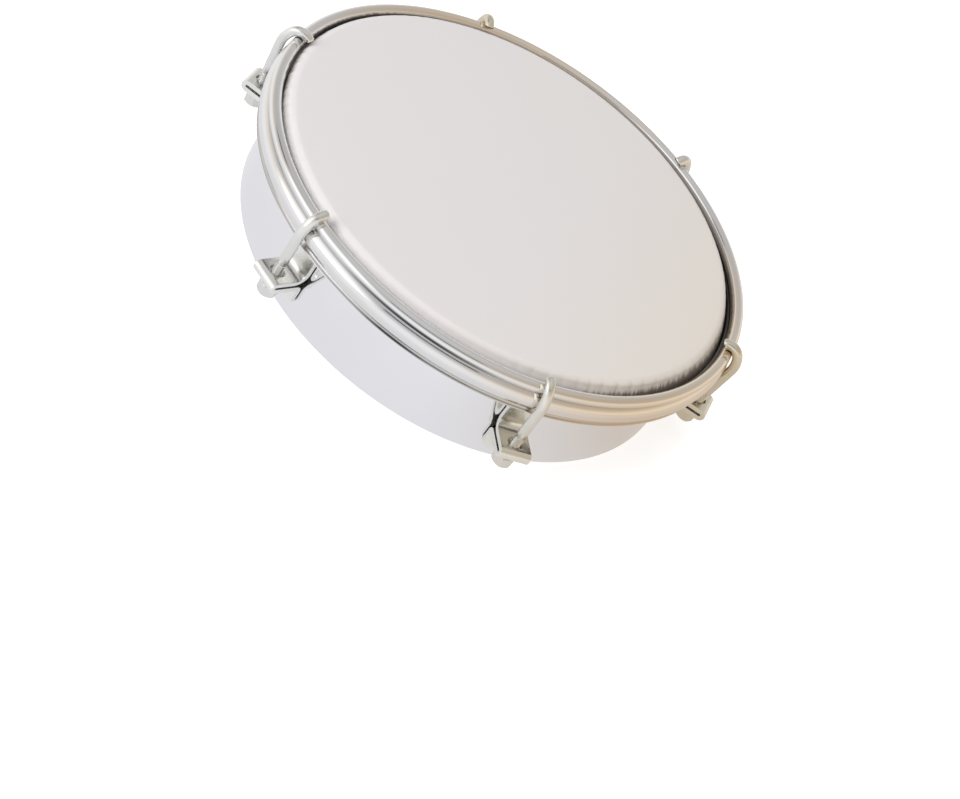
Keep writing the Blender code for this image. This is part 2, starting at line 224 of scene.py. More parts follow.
metal_only(stage_sheet("floor_card", level_square(CARD_REACH, CARD_DROP), floor_view))
for name, bearing, half_width in GREY_CARDS:
    a = math.radians(bearing)
    out = np.array([math.cos(a), math.sin(a)]) * GREY_AWAY
    side = np.array([-math.sin(a), math.cos(a)]) * half_width
    low, high = GREY_HEIGHTS
    corners = [(*(out + side * s), z) for s, z in ((-1, low), (-1, high), (1, high), (1, low))]
    metal_only(stage_sheet(name, corners, grey_card))


# Shell.
# One strip of aluminium rolled to a ring, its top edge turned in to a round bearing edge and its
# lower edge turned in flat, then polished. The lugs are fixed to its outside.
SHELL_RADIUS = 76.0
SHELL_WALL = 1.5
CREST_BEND = 1.8
CREST_TOP = 38.9
FOOT_BEND = 2.5
RIM_INNER = 70.0
RIM_EDGE = 0.15                    # how far the rim's inner corners are broken
SHELL_STEPS = 720


def arc(x, z, radius, start, end, count):
    """Points on an arc: its centre plus radius times cosine and sine, start to end in degrees."""
    a = np.radians(np.linspace(start, end, count))
    return np.stack([x + radius * np.cos(a), z + radius * np.sin(a)], axis=1)


def ring_grid(section, steps, aside=0.0):
    """A section of (distance, height) in mm carried round the drum's axis, as rows of points.

    Aside moves the whole ring that many mm along X.
    """
    a = np.arange(steps) * (math.tau / steps)
    r, z = section[:, 0] * MM, section[:, 1] * MM
    return np.stack([np.outer(np.cos(a), r) + aside * MM, np.outer(np.sin(a), r),
                     np.broadcast_to(z, (steps, len(z)))], axis=-1)


def surface(name, points, poles=False, crease=35.0):
    """A closed mesh over a grid of points, rows by columns.

    Rows go round and meet. Columns meet too, or with poles each end column is drawn together to
    its middle point. Faces are turned outwards by the sign of the volume inside them, which is
    a sixth of the sum of the triple products of each triangle's corners.
    """
    rows, columns = points.shape[:2]
    here = np.arange(rows)[:, None]
    after = (here + 1) % rows
    span = columns - 2 if poles else columns
    body = points[:, 1:-1] if poles else points
    left = np.arange(span - 1 if poles else span)[None, :]
    right = (left + 1) % span
    faces = np.stack([here * span + left, after * span + left,
                      after * span + right, here * span + right], axis=-1).reshape(-1, 4)
    fans = np.zeros((0, 3), int)
    spots = body.reshape(-1, 3)
    if poles:
        first, last = rows * span, rows * span + 1
        spots = np.concatenate([spots, points[:, [0, -1]].mean(axis=0)])
        one, two = here[:, 0], after[:, 0]
        fans = np.concatenate([
            np.stack([np.full(rows, first), two * span, one * span], axis=1),
            np.stack([one * span + span - 1, two * span + span - 1, np.full(rows, last)], axis=1)])
    thirds = np.concatenate([faces[:, :3], faces[:, [0, 2, 3]], fans])
    a, b, c = (spots[thirds[:, i]] for i in range(3))
    if np.einsum("ij,ij->", a, np.cross(b, c)) < 0:
        faces, fans = faces[:, ::-1], fans[:, ::-1]
    mesh = bpy.data.meshes.new(name)
    mesh.from_pydata(spots.tolist(), [], faces.tolist() + fans.tolist())
    mesh.shade_smooth()
    mesh.set_sharp_from_angle(angle=math.radians(crease))
    return mesh


def new_piece(mesh, material):
    """An object at the origin that shows the mesh in its material."""
    made = bpy.data.objects.new(mesh.name, mesh)
    mesh.materials.append(material)
    bpy.context.scene.collection.objects.link(made)
    return made


crest_x = SHELL_RADIUS - CREST_BEND
crest_z = CREST_TOP - CREST_BEND
foot_x = SHELL_RADIUS - FOOT_BEND
shell_section = np.concatenate([
    [(RIM_INNER, RIM_EDGE), (RIM_INNER + RIM_EDGE, 0.0), (foot_x - 1.0, 0.0)],
    arc(foot_x, FOOT_BEND, FOOT_BEND, -90.0, 0.0, 14),
    [(SHELL_RADIUS, z) for z in (8.0, 18.0, 28.0)],
    arc(crest_x, crest_z, CREST_BEND, 0.0, 140.0, 22),
    arc(crest_x, crest_z, CREST_BEND - SHELL_WALL, 140.0, 0.0, 12),
    [(SHELL_RADIUS - SHELL_WALL, 28.0), (SHELL_RADIUS - SHELL_WALL, 12.0)],
    arc(foot_x, FOOT_BEND, FOOT_BEND - SHELL_WALL, 0.0, -90.0, 10),
    [(foot_x - 1.0, SHELL_WALL), (RIM_INNER + RIM_EDGE, SHELL_WALL),
     (RIM_INNER, SHELL_WALL - RIM_EDGE)],
])

# Polished aluminium: a pale, slightly soft mirror. The polishing leaves level lines round the
# wall, really about 0.05 mm apart and drawn 0.4 mm apart to show, and handling leaves smears.
polished_aluminium, tree, shader = new_material("polished_aluminium")
place = add(tree, "ShaderNodeTexCoord").outputs["Object"]
stretched = add(tree, "ShaderNodeMapping", {}, {"Vector": place, "Scale": (12.0, 12.0, 2500.0)})
lines = add(tree, "ShaderNodeTexNoise", {}, {"Vector": stretched.outputs["Vector"],
                                             "Scale": 1.0, "Detail": 3.0})
smears = add(tree, "ShaderNodeTexNoise", {}, {"Vector": place, "Scale": 45.0, "Detail": 5.0,
                                              "Roughness": 0.6})
tint = add(tree, "ShaderNodeMix", {"data_type": "RGBA"},
           {"Factor": smears.outputs["Fac"], "A": linear("#EFEFF2"), "B": linear("#F6F6F7")})
gloss = add(tree, "ShaderNodeMapRange", {}, {"Value": smears.outputs["Fac"], "From Min": 0.3,
                                             "From Max": 0.75, "To Min": 0.08, "To Max": 0.17})
ridges = add(tree, "ShaderNodeBump", {}, {"Height": lines.outputs["Fac"], "Strength": 0.15,
                                          "Distance": 0.00002})
fill(tree, shader, {"Base Color": tint.outputs["Result"], "Roughness": gloss.outputs["Result"],
                    "Normal": ridges.outputs["Normal"], "Metallic": 1.0})

shell_ring = new_piece(surface("shell_ring", ring_grid(shell_section, SHELL_STEPS)),
                       polished_aluminium)
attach(shell_ring, "frame")
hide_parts("shell")


# Lugs.
# Each is one strip of steel folded like a hairpin, with both ends bent flat against the shell as
# feet, drilled through both layers for the hook, its corners rounded, and plated bright.
STATIONS = 6
LUG_HALF_WIDTH = 4.95
LUG_SHEET = 1.5
LUG_START = (77.05, 28.9)          # middle of the sheet at the upper foot's top
LUG_RUNS = (10.07, 5.25, 6.46, 3.77, 8.57, 2.21, 5.64)    # lengths along the strip
LUG_TURNS = (0.0, 92.5, 0.0, -180.0, 0.0, 87.5, 0.0)      # how far each length bends, in degrees
LUG_HOLES = (19.11, 28.53)         # where the hook goes through, along the strip
LUG_HOLE_RADIUS = 2.5
LUG_PATCH = 3.0                    # half side of the square that a hole is set in
LUG_CORNER = 2.0
PATCH_CELLS = 24


def bent_strip(along, across):
    """Place points of a flat strip on its bent middle surface.

    The direction turns at a steady rate in each bend, and the place is the running sum of the
    direction along the strip. Across is carried straight over, narrowed at the rounded ends.
    """
    ends = np.concatenate([[0.0], np.cumsum(LUG_RUNS)])
    turned = -90.0 + np.concatenate([[0.0], np.cumsum(LUG_TURNS)])
    fine = np.linspace(0.0, ends[-1], 6001)
    middle = np.radians(np.interp((fine[1:] + fine[:-1]) / 2, ends, turned))
    step = fine[1]
    x = LUG_START[0] + np.concatenate([[0.0], np.cumsum(np.cos(middle) * step)])
    z = LUG_START[1] + np.concatenate([[0.0], np.cumsum(np.sin(middle) * step)])
    from_end = np.minimum(np.minimum(along, ends[-1] - along), LUG_CORNER)
    narrowed = LUG_CORNER - np.sqrt(np.maximum(LUG_CORNER ** 2 - (LUG_CORNER - from_end) ** 2, 0))
    y = across * (LUG_HALF_WIDTH - narrowed) / LUG_HALF_WIDTH
    return np.stack([np.interp(along, fine, x), y, np.interp(along, fine, z)], axis=-1) * MM


def strip_lines():
    """Where the grid lines cross the strip: close at the ends and the fold, wider on the feet."""
    total = sum(LUG_RUNS)
    first, last = LUG_HOLES[0] - LUG_PATCH, LUG_HOLES[1] + LUG_PATCH
    near_end = LUG_CORNER * (1.0 - np.cos(np.linspace(0.0, math.pi / 2, 9)))
    between = (LUG_HOLES[0] + LUG_PATCH, LUG_HOLES[1] - LUG_PATCH)
    return np.concatenate([
        near_end[:-1], np.linspace(LUG_CORNER, first, 34)[:-1],
        np.linspace(first, between[0], PATCH_CELLS + 1)[:-1],
        np.linspace(*between, 13)[:-1],
        np.linspace(between[1], last, PATCH_CELLS + 1)[:-1],
        np.linspace(last, total - LUG_CORNER, 20)[:-1], (total - near_end)[::-1]])


def drilled_strip():
    """The strip as flat faces bent to shape: a grid, with a ring of cells round each hole.

    A ring's points run straight from a circle to the sides of its square, at equal numbers.
    """
    u = strip_lines()
    side = np.linspace(LUG_PATCH, LUG_HALF_WIDTH, 7)
    v = np.concatenate([-side[::-1][:-1], np.linspace(-LUG_PATCH, LUG_PATCH, PATCH_CELLS + 1),
                        side[1:]])
    places = [bent_strip(*np.meshgrid(u, v, indexing="ij")).reshape(-1, 3)]
    row, column = np.meshgrid(np.arange(len(u) - 1), np.arange(len(v) - 1), indexing="ij")
    mid_u, mid_v = (u[1:] + u[:-1]) / 2, (v[1:] + v[:-1]) / 2
    inside = [(abs(mid_u[row] - hole) < LUG_PATCH) & (abs(mid_v[column]) < LUG_PATCH)
              for hole in LUG_HOLES]
    kept = ~(inside[0] | inside[1])
    row, column = row[kept], column[kept]
    width = len(v)
    faces = [np.stack([row * width + column, (row + 1) * width + column,
                       (row + 1) * width + column + 1, row * width + column + 1], axis=1)]
    edge = np.linspace(-LUG_PATCH, LUG_PATCH, PATCH_CELLS + 1)[:-1]
    flat = np.full(PATCH_CELLS, LUG_PATCH)
    square = np.concatenate([np.stack([edge, -flat], 1), np.stack([flat, edge], 1),
                             np.stack([-edge, flat], 1), np.stack([-flat, -edge], 1)])
    circle = square / np.linalg.norm(square, axis=1)[:, None] * LUG_HOLE_RADIUS
    share = np.linspace(0.0, 1.0, 6)[:, None, None]
    ring = circle * (1 - share) + square * share
    count = len(square)
    start = len(places[0])
    for hole in LUG_HOLES:
        places.append(bent_strip(hole + ring[..., 0], ring[..., 1]).reshape(-1, 3))
        level_number, spoke = np.meshgrid(np.arange(len(ring) - 1), np.arange(count),
                                          indexing="ij")
        following = (spoke + 1) % count
        faces.append((start + np.stack([
            level_number * count + spoke, (level_number + 1) * count + spoke,
            (level_number + 1) * count + following, level_number * count + following],
            axis=-1)).reshape(-1, 4))
        start += ring.shape[0] * count
    return np.concatenate(places), np.concatenate(faces)


def about_drum(points, station):
    """Turn points made for station 1, on +X, to another station."""
    a = math.tau * station / STATIONS
    turn = np.array([[math.cos(a), -math.sin(a), 0], [math.sin(a), math.cos(a), 0], [0, 0, 1]])
    return points @ turn.T


def merged(name, points, faces):
    """A mesh with its coincident points made one."""
    whole = np.round(points / 1e-7).astype(np.int64)
    _, first, same = np.unique(whole, axis=0, return_index=True, return_inverse=True)
    mesh = bpy.data.meshes.new(name)
    mesh.from_pydata(points[first].tolist(), [], same.reshape(-1)[faces].tolist())
    return mesh


WARM_BEARINGS = (345.0, 115.0)     # middle of each side with painted warm light, in degrees from +X
WARM_FROM = 46.0                   # how far out that way the painted warm light starts
WARM_FULL = 78.0


def painted_warm_light_share(tree, place, most):
    """A share, up to most, near the two sides of the drum where painted warm light falls."""
    shares = []
    for bearing in WARM_BEARINGS:
        a = math.radians(bearing)
        facing = add(tree, "ShaderNodeVectorMath", {"operation": "DOT_PRODUCT"},
                     {0: place, 1: (math.cos(a), math.sin(a), 0.0)})
        shares.append(add(tree, "ShaderNodeMapRange", {},
                          {"Value": facing.outputs["Value"], "From Min": WARM_FROM * MM,
                           "From Max": WARM_FULL * MM, "To Max": most}).outputs["Result"])
    return add(tree, "ShaderNodeMath", {"operation": "MAXIMUM"},
               {0: shares[0], 1: shares[1]}).outputs["Value"]


# Dull nickel plate on pressed steel: a soft, pale shine, slightly yellow, with the strip's faint
# pressing waves about 4 mm long, cloudy patches of 10 mm in the plating, and painted warm
# light on two sides of the drum.
dull_nickel, tree, shader = new_material("dull_nickel_plate")
place = add(tree, "ShaderNodeTexCoord").outputs["Object"]
waves = add(tree, "ShaderNodeTexNoise", {}, {"Vector": place, "Scale": 250.0, "Detail": 3.0})
cloud = add(tree, "ShaderNodeTexNoise", {}, {"Vector": place, "Scale": 90.0, "Detail": 4.0})
tint = add(tree, "ShaderNodeMix", {"data_type": "RGBA"},
           {"Factor": cloud.outputs["Fac"], "A": linear("#E6E6E1"), "B": linear("#FAFAF7")})
# Painted warm light: the lugs and rivets turn tan on two sides of the drum.
tint = add(tree, "ShaderNodeMix", {"data_type": "RGBA"},
           {"Factor": painted_warm_light_share(tree, place, 0.5), "A": tint.outputs["Result"],
            "B": linear("#DCD0B0")})
gloss = add(tree, "ShaderNodeMapRange", {}, {"Value": cloud.outputs["Fac"], "From Min": 0.3,
                                             "From Max": 0.75, "To Min": 0.20, "To Max": 0.34})
ridges = add(tree, "ShaderNodeBump", {}, {"Height": waves.outputs["Fac"], "Strength": 0.45,
                                          "Distance": 0.0003})
fill(tree, shader, {"Base Color": tint.outputs["Result"], "Roughness": gloss.outputs["Result"],
                    "Normal": ridges.outputs["Normal"], "Metallic": 1.0})

strip_points, strip_faces = drilled_strip()
for station in range(STATIONS):
    lug_mesh = merged(f"lug_strip_{station + 1}", about_drum(strip_points, station), strip_faces)
    lug_mesh.shade_smooth()
    lug_strip = new_piece(lug_mesh, dull_nickel)
    sheet = lug_strip.modifiers.new("sheet", "SOLIDIFY")
    sheet.thickness = LUG_SHEET * MM
    sheet.offset = 0.0
    sheet.use_even_offset = False
    edge = lug_strip.modifiers.new("sheared_edge", "BEVEL")
    edge.width = 0.3 * MM
    edge.segments = 3
    edge.limit_method = "ANGLE"
    edge.angle_limit = math.radians(60.0)
    edge.harden_normals = False
    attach(lug_strip, "frame")
    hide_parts(f"lug_{station + 1}")


# Rivets.
# Two fix each lug: a low domed head on the foot outside, and a hammered tail inside the shell.
RIVET_HEIGHTS = {"upper": 25.6, "lower": 8.9}
RIVET_SHANK = 1.4
RIVET_HEAD = 2.1
RIVET_EDGE = 0.15                  # how far the head stands straight up before its dome
RIVET_DOME = 0.3
RIVET_TAIL = [(0.0, -2.75), (0.9, -2.7), (1.5, -2.5), (1.85, -2.1), (1.85, -1.7), (1.7, -1.52)]
FOOT_FACE = 1.8                    # outside of a foot, from the shell's outside

dome = np.linspace(0.0, math.pi / 2, 12)
rivet_section = np.concatenate([
    RIVET_TAIL, [(RIVET_SHANK, RIVET_TAIL[-1][1]), (RIVET_SHANK, FOOT_FACE)],
    np.stack([RIVET_HEAD * np.cos(dome[:-1]) ** 0.8,
              FOOT_FACE + RIVET_EDGE + RIVET_DOME * np.sin(dome[:-1])], axis=1),
    [(0.0, FOOT_FACE + RIVET_EDGE + RIVET_DOME)],
])

for station in range(STATIONS):
    for row_name, height in RIVET_HEIGHTS.items():
        upright = ring_grid(rivet_section, 40)
        lying = np.stack([upright[..., 2] + SHELL_RADIUS * MM, upright[..., 1],
                          height * MM - upright[..., 0]], axis=-1)
        rivet = new_piece(surface(f"rivet_dome_{row_name}_{station + 1}",
                                  about_drum(lying, station), poles=True), dull_nickel)
        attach(rivet, "frame")
        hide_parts(f"rivet_{row_name}_{station + 1}")


# Flesh hoop.
# An aluminium ring with a slot round its top, which the drumhead's edge is glued into. It sits
# under the counterhoop's groove and shows only as a dull ring deep in the gap.
HOOP_ASIDE = 0.3                   # both hoops were drawn down this far off the middle, along X
flesh_section = np.array([
    (77.4, 30.4), (80.5, 30.4), (80.9, 30.8), (80.9, 35.0), (80.5, 35.4), (78.5, 35.4),
    (78.5, 32.7), (77.5, 32.7), (77.5, 33.8), (77.2, 34.0), (77.0, 33.8), (77.0, 30.8)])

# Drawn aluminium: a dull, soft shine with drawing lines round the ring, drawn 0.5 mm apart.
# Its colour is painted dark grey, as the shade deep in the gap.
drawn_aluminium_painted_dark, tree, shader = new_material("drawn_aluminium_painted_dark")
place = add(tree, "ShaderNodeTexCoord").outputs["Object"]
stretched = add(tree, "ShaderNodeMapping", {}, {"Vector": place, "Scale": (20.0, 20.0, 2000.0)})
lines = add(tree, "ShaderNodeTexNoise", {}, {"Vector": stretched.outputs["Vector"],
                                             "Scale": 1.0, "Detail": 2.0})
tint = add(tree, "ShaderNodeMix", {"data_type": "RGBA"},
           {"Factor": lines.outputs["Fac"], "A": linear("#716D69"), "B": linear("#918D88")})
fill(tree, shader, {"Base Color": tint.outputs["Result"], "Metallic": 1.0, "Roughness": 0.42})

flesh_ring = new_piece(surface("flesh_ring", ring_grid(flesh_section, 360, HOOP_ASIDE)),
                       drawn_aluminium_painted_dark)
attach(flesh_ring, "head")
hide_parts("flesh_hoop")


# Drumhead.
# A milky polyester film, flat over the bearing edge. Its collar turns down outside the shell
# into the flesh hoop, and is gathered in small uneven pleats because its edge is shorter there.
FILM = 0.25
FILM_TOP = 39.5
FILM_FLAT = 74.3                   # where the flat part starts to roll over
FILM_ROLL = 2.6                    # radius of that roll
ROLL_ANGLE = 68.0
COLLAR_END = (78.2, 33.1)
COLLAR_BULGE = (0.35, 0.25)        # how far the collar swells out and up at its middle
PLEATS = 96
PLEAT_DEPTH = 1.2
PLEAT_LEAST = 0.08                 # strength of the pleats where the collar is tight
PLEAT_LOOSE = ((330.0, 24.0, 0.25), (195.0, 18.0, 0.2))   # middle and width in degrees, rise
PLEATS_GROW = (75.0, 1.2)          # distance from the axis, and the width that they grow over
PLEATS_FADE = (78.4, 0.8)
FILM_ASIDE = -0.5                  # the film's top lies this far off the middle, along X
ASIDE_HEIGHTS = (34.0, 37.0)       # below these the film goes with the hoops, above them not
BROWN_START = 79.0                 # distance from the axis where the collar turns brown
BROWN_SIDES = (((0.978, -0.208, 0.0), 40.0, 76.5, 2.65),       # towards, fades at, full at, and
               ((-0.99, 0.139, 0.0), 56.0, 73.0, 1.9))         # how much further in it is brown
BROWN_STREAKS = 3.0                # how much the streaks wander in and out
BROWN_SOFTNESS = 0.9
HEAD_STEPS = PLEATS * 9


def film_profile():
    """Distance and height of the film's top: flat, rolled over by 68 degrees, then down."""
    flat = np.stack([np.array([0.0, 8.0, 20.0, 34.0, 48.0, 60.0, 68.0, 72.0]),
                     np.full(8, FILM_TOP)], axis=1)
    roll = arc(FILM_FLAT, FILM_TOP - FILM_ROLL, FILM_ROLL, 90.0, 90.0 - ROLL_ANGLE, 16)
    share = np.linspace(0.0, 1.0, 12)[1:, None]
    bulge = np.sin(share * math.pi) * np.array(COLLAR_BULGE)
    return np.concatenate([flat, roll, roll[-1] + (COLLAR_END - roll[-1]) * share + bulge])


def pleated(profile, sink):
    """Carry the profile round, and let the collar bulge outwards between its pleats.

    A pleat is a narrow valley: one less the absolute sine of half the angle from its middle,
    to a power. The bulge is what the valleys leave. Its strength is a low level and two bell
    curves, as the collar is looser on the right and a little on the left, and it wanders from
    pleat to pleat. It grows from nothing on the flat to all of it on the collar, and fades at
    the collar's end. The top lies a little to one side, and the end goes with the hoops.
    """
    a = np.arange(HEAD_STEPS) * (math.tau / HEAD_STEPS)
    wander = 0.35 * np.sin(7 * a + 1.0) + 0.3 * np.sin(17 * a + 2.0) + 0.25 * np.sin(29 * a)
    phase = (PLEATS * a + 1.6 * wander) / 2
    valley = (1.0 - np.abs(np.sin(phase))) ** 1.8
    strength = np.full(len(a), PLEAT_LEAST)
    for middle, width, rise in PLEAT_LOOSE:
        off = (a - math.radians(middle) + math.pi) % math.tau - math.pi
        strength += rise * np.exp(-(off / math.radians(width)) ** 2)
    strength *= 0.75 + 0.35 * np.sin(11 * a + 0.5) * np.cos(5 * a)
    r, z = profile[:, 0], profile[:, 1] - sink
    growth = np.clip((r - PLEATS_GROW[0]) / PLEATS_GROW[1], 0.0, 1.0) ** 1.3
    growth *= np.clip((PLEATS_FADE[0] - r) / PLEATS_FADE[1], 0.2, 1.0)
    bulge = np.outer((1.0 - valley) * strength, growth) * PLEAT_DEPTH
    reach = (r + bulge) * MM
    aside = np.interp(z, ASIDE_HEIGHTS, (HOOP_ASIDE, FILM_ASIDE)) * MM
    return np.stack([reach * np.cos(a)[:, None] + aside, reach * np.sin(a)[:, None],
                     (z + 0.3 * bulge) * MM], axis=-1)


# The underside lies one film's thickness lower, and on the collar as much further in.
film_top = film_profile()
film_under = film_top[::-1].copy()
film_under[:, 0] -= FILM * np.clip((film_under[:, 0] - 70.0) / 6.0, 0.0, 1.0)
film_points = np.concatenate([pleated(film_top, 0.0), pleated(film_under, FILM)], axis=1)

# Milky polyester film: a white, faintly cloudy sheet with a dull shine and a very fine tooth,
# drawn about 0.6 mm across to show, and a little creamier on the right with painted warm light.
# Down in the gap the collar is painted brown as shade, with some glue, which ends in streaks
# about 1 mm wide that run inwards.
milky_polyester, tree, shader = new_material("milky_polyester_film")
place = add(tree, "ShaderNodeTexCoord").outputs["Object"]
cloud = add(tree, "ShaderNodeTexNoise", {}, {"Vector": place, "Scale": 16.0, "Detail": 2.0})
tooth = add(tree, "ShaderNodeTexNoise", {}, {"Vector": place, "Scale": 1700.0, "Detail": 2.0})
tint = add(tree, "ShaderNodeMix", {"data_type": "RGBA"},
           {"Factor": cloud.outputs["Fac"], "A": linear("#E3DFE1"), "B": linear("#E4E0DC")})
ridges = add(tree, "ShaderNodeBump", {}, {"Height": tooth.outputs["Fac"], "Strength": 0.2,
                                          "Distance": 0.00003})
axes = add(tree, "ShaderNodeSeparateXYZ", {}, {"Vector": place}).outputs
level_place = add(tree, "ShaderNodeCombineXYZ", {}, {"X": axes["X"], "Y": axes["Y"]})
reach = add(tree, "ShaderNodeVectorMath", {"operation": "LENGTH"},
            {0: level_place.outputs["Vector"]}).outputs["Value"]
spoke = add(tree, "ShaderNodeVectorMath", {"operation": "NORMALIZE"},
            {0: level_place.outputs["Vector"]})
streaks = add(tree, "ShaderNodeTexNoise", {}, {"Vector": spoke.outputs["Vector"],
                                               "Scale": 60.0, "Detail": 3.0, "Roughness": 0.6})
front_edge = add(tree, "ShaderNodeMath", {"operation": "MULTIPLY_ADD"},
                 {0: streaks.outputs["Fac"], 1: BROWN_STREAKS * MM, 2: reach}).outputs["Value"]
for side, fade, full, further in BROWN_SIDES:
    facing = add(tree, "ShaderNodeVectorMath", {"operation": "DOT_PRODUCT"}, {0: place, 1: side})
    inwards = add(tree, "ShaderNodeMapRange", {},
                  {"Value": facing.outputs["Value"], "From Min": fade * MM,
                   "From Max": full * MM, "To Max": further * MM}).outputs["Result"]
    front_edge = add(tree, "ShaderNodeMath", {"operation": "ADD"},
                     {0: front_edge, 1: inwards}).outputs["Value"]
# Painted shade, with some glue: the collar turns brown down in the gap, ending in streaks.
brown_from = (BROWN_START + BROWN_STREAKS / 2) * MM
depth = add(tree, "ShaderNodeMapRange", {}, {"Value": front_edge, "From Min": brown_from,
                                             "From Max": brown_from + BROWN_SOFTNESS * MM})
# Painted warm light: the film turns creamier towards the right.
warm_lit_side = add(tree, "ShaderNodeMapRange", {}, {"Value": axes["X"], "From Min": 0.02,
                                              "From Max": 0.075})
tint = add(tree, "ShaderNodeMix", {"data_type": "RGBA"},
           {"Factor": warm_lit_side.outputs["Result"], "A": tint.outputs["Result"],
            "B": linear("#E5DDD3")})
collar_shade_and_glue = add(tree, "ShaderNodeMix", {"data_type": "RGBA"},
           {"Factor": depth.outputs["Result"], "A": tint.outputs["Result"],
            "B": linear("#8E847A")})
fill(tree, shader, {"Base Color": collar_shade_and_glue.outputs["Result"], "Normal": ridges.outputs["Normal"],
                    "Roughness": 0.42, "IOR": 1.57})

head_film = new_piece(surface("head_film", film_points, poles=True, crease=60.0),
                      milky_polyester)
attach(head_film, "head")
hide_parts("drumhead")


# Counterhoop.
# One strip of steel rolled to a ring: a round bead on top for the hooks, a groove that bears on
# the flesh hoop, a convex band, and a small outward lip. Polished and chromium plated.
HOOP_STEPS = 720
BEAD = (81.0, 37.05)               # middle of the bead's section
BEAD_RADIUS = 1.9
BEAD_HOLLOW = 0.75
BEAD_WALL_END = (79.12, 36.5)      # the strip's edge, rounded, ends the bead on its inner side
BEAD_EDGE = (79.7, 36.1)
BEAD_EDGE_RADIUS = 0.57
BEAD_WALL_BACK = (80.25, 36.6)
BAND = (79.6, 32.5)                # middle that the convex band is bent about
BAND_RADIUS = 4.2
LIP_KNOTS = np.array([(82.35, 28.05), (82.8, 28.1), (82.95, 28.3), (82.8, 28.5), (82.3, 28.6),
                      (81.95, 28.8), (82.0, 29.15)])
GROOVE_KNOTS = np.array([(82.0, 35.85), (81.7, 35.92), (81.6, 36.0), (81.8, 35.95)])
LINING_KNOTS = np.array([(81.2, 35.9), (81.1, 35.6), (81.7, 34.9), (82.2, 34.0), (82.5, 32.6),
                         (82.4, 31.4), (82.0, 30.3), (81.4, 29.5), (81.4, 28.8), (81.9, 28.3),
                         (82.2, 28.1)])


def smooth_path(knots, each):
    """A Catmull-Rom curve through the knots, with each points from a knot to the next."""
    padded = np.concatenate([[2 * knots[0] - knots[1]], knots, [2 * knots[-1] - knots[-2]]])
    p0, p1, p2, p3 = (padded[i:len(padded) - 3 + i, None] for i in range(4))
    t = (np.arange(each) / each)[None, :, None]
    spots = 0.5 * (2 * p1 + (p2 - p0) * t + (2 * p0 - 5 * p1 + 4 * p2 - p3) * t ** 2
                   + (3 * p1 - p0 - 3 * p2 + p3) * t ** 3)
    return np.concatenate([spots.reshape(-1, knots.shape[1]), knots[-1:]])


def hoop_outline():
    """Up the lip and the band, round the bead, down its wall, and back along the lining."""
    return np.concatenate([
        smooth_path(LIP_KNOTS, 4), arc(*BAND, BAND_RADIUS, -50.0, 50.0, 50),
        smooth_path(GROOVE_KNOTS, 3), arc(*BEAD, BEAD_RADIUS, -33.0, 180.0, 45), [BEAD_WALL_END],
        arc(*BEAD_EDGE, BEAD_EDGE_RADIUS, 180.0, 360.0, 8), [BEAD_WALL_BACK],
        arc(*BEAD, BEAD_HOLLOW, 180.0, -30.0, 12), smooth_path(LINING_KNOTS, 3)])


# Bright chromium over polished steel: a hard, clear mirror. The rolling leaves slow waves of
# about 30 mm round the ring and finer ones of 5 mm, which make the lines in it waver. Down in
# the gap beside the head the wall is painted dull brown and less metallic, as painted shade,
# most of all away from the back. The groove and the crease behind the lip are painted dark,
# as painted shade, most of it at the front, and two sides carry painted warm light.
GAP_PAINTED_SHADE = (75.0, 50.0, 25.0, 1.0, 0.2)         # bearing, fades at, full at, share off and on it
GROOVE_PAINTED_SHADE = (270.0, 22.0, 10.0, 0.25, 0.97)
LIP_PAINTED_SHADE = (267.0, 13.0, 7.0, 0.1, 1.0)
bright_chromium, tree, shader = new_material("bright_chromium_plate")
place = add(tree, "ShaderNodeTexCoord").outputs["Object"]
waves = add(tree, "ShaderNodeTexNoise", {}, {"Vector": place, "Scale": 60.0, "Detail": 3.0,
                                             "Roughness": 0.4})
haze = add(tree, "ShaderNodeTexNoise", {}, {"Vector": place, "Scale": 120.0, "Detail": 5.0})
tint = add(tree, "ShaderNodeMix", {"data_type": "RGBA"},
           {"Factor": haze.outputs["Fac"], "A": linear("#E2E1E0"), "B": linear("#ECEBEA")})
gloss = add(tree, "ShaderNodeMapRange", {}, {"Value": haze.outputs["Fac"], "From Min": 0.35,
                                             "From Max": 0.75, "To Min": 0.06, "To Max": 0.13})
ridges = add(tree, "ShaderNodeBump", {}, {"Height": waves.outputs["Fac"], "Strength": 0.25,
                                          "Distance": 0.0003})
axes = add(tree, "ShaderNodeSeparateXYZ", {}, {"Vector": place}).outputs
level_x = add(tree, "ShaderNodeMath", {"operation": "SUBTRACT"},
              {0: axes["X"], 1: HOOP_ASIDE * MM}).outputs["Value"]
level_place = add(tree, "ShaderNodeCombineXYZ", {}, {"X": level_x, "Y": axes["Y"]})
reach = add(tree, "ShaderNodeVectorMath", {"operation": "LENGTH"},
            {0: level_place.outputs["Vector"]}).outputs["Value"]


def beside(bearing, fades, full, off_it, on_it):
    """A share that goes from off_it to on_it by how many degrees a point is from a bearing."""
    a = math.radians(bearing)
    facing = add(tree, "ShaderNodeVectorMath", {"operation": "DOT_PRODUCT"},
                 {0: level_place.outputs["Vector"], 1: (math.cos(a), math.sin(a), 0.0)})
    radius = (BAND[0] + BAND_RADIUS) * MM
    return add(tree, "ShaderNodeMapRange", {},
               {"Value": facing.outputs["Value"],
                "From Min": radius * math.cos(math.radians(fades)),
                "From Max": radius * math.cos(math.radians(full)),
                "To Min": off_it, "To Max": on_it}).outputs["Result"]


def within(share, *limits):
    """A share times a ramp for each limit, which is a value, and where in mm it is 0 and 1."""
    for value, none, full in limits:
        ramp = add(tree, "ShaderNodeMapRange", {}, {"Value": value, "From Min": none * MM,
                                                    "From Max": full * MM})
        share = add(tree, "ShaderNodeMath", {"operation": "MULTIPLY"},
                    {0: ramp.outputs["Result"], 1: share}).outputs["Value"]
    return share


